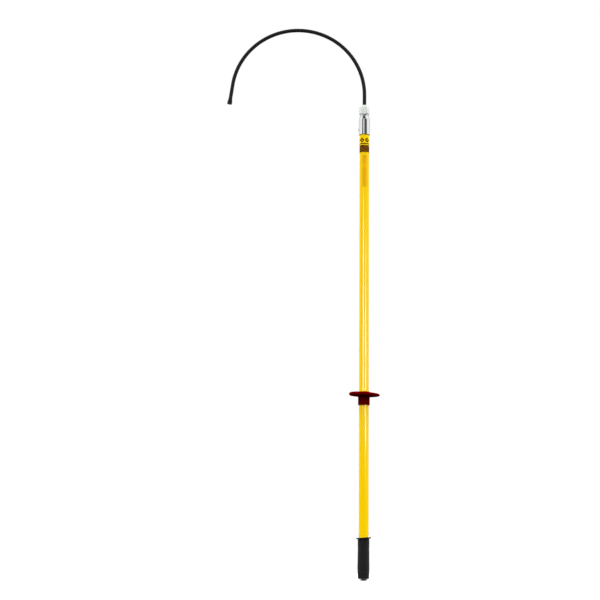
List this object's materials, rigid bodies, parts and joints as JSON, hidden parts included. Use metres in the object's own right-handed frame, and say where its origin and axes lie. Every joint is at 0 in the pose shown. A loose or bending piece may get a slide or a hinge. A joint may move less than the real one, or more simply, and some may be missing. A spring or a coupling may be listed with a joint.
{
  "type": "insulated rescue hook",
  "caption": "Long yellow insulating pole with a large black-coated crook, a hex clamp nut, a red hand guard, a black rubber grip and a domed metal butt.",
  "frame": {"origin": "centre of the small flat foot of the butt plug, on the pole's axis", "axes": "+Z along the pole from the butt to the hook, the hook lies in the XZ plane and its free leg hangs on the -X side, so its mouth opens towards -Z"},
  "size_m": [0.512, 0.1008, 1.8452],
  "materials": {
    "pole_yellow": "glossy yellow resin over glass fibre, slightly worn",
    "label_film": null,
    "foam": "closed-cell foam",
    "laminate": "glass laminate rod",
    "seal_rubber": "matt black rubber",
    "head_metal": "polished nickel-plated brass",
    "nut_metal": "satin plated, polished by spanners at the corners",
    "pin_metal": "zinc-plated steel",
    "washer_steel": "plain steel",
    "bearing_brass": "turned bronze and brass",
    "hook_steel": "drawn steel bar",
    "hook_coating": "black insulating sheath with a soft gloss",
    "guard_vinyl": "dark red moulded vinyl, slightly translucent",
    "grip_rubber": "matt black moulded rubber",
    "butt_metal": "turned and polished alloy"
  },
  "bodies": {
    "pole": {"pole_tube": "pole_yellow", "foam_core": "foam", "top_plug": "laminate", "bottom_seal_disc": "seal_rubber", "label_band": "label_film", "print_label": "label_film", "head_body": "head_metal", "head_pin": "pin_metal", "head_seal": "seal_rubber", "shank_bush": "bearing_brass", "shank_seal": "seal_rubber", "spring_washer": "washer_steel", "hand_guard": "guard_vinyl", "grip": "grip_rubber", "butt_plug": "butt_metal", "butt_o_ring": "seal_rubber", "butt_pin": "pin_metal"},
    "nut_carrier": {"thrust_washer": "bearing_brass"},
    "nut": {"clamp_nut": "nut_metal"},
    "hook": {"hook_core": "hook_steel", "hook_collar": "washer_steel", "hook_sleeve": "hook_coating", "sleeve_ferrule": "nut_metal", "hook_tip_cap": "hook_coating"}
  },
  "joints": [
    {"name": "nut_travel", "type": "slide", "parent": "pole", "child": "nut_carrier", "axis": [0, 0, 1], "range_m": [0, 0.0091]},
    {"name": "nut_turn", "type": "hinge", "parent": "nut_carrier", "child": "nut", "pos_m": [0, 0, 1.56], "axis": [0, 0, 1], "range_deg": [0, 2160]},
    {"name": "hook_swivel", "type": "hinge", "parent": "pole", "child": "hook", "pos_m": [0, 0, 1.56], "axis": [0, 0, 1], "range_deg": [-180, 180]}
  ],
  "couplings": [
    {"joint": "nut_travel", "follows": "nut_turn", "m_per_rad": 0.00023873}
  ]
}
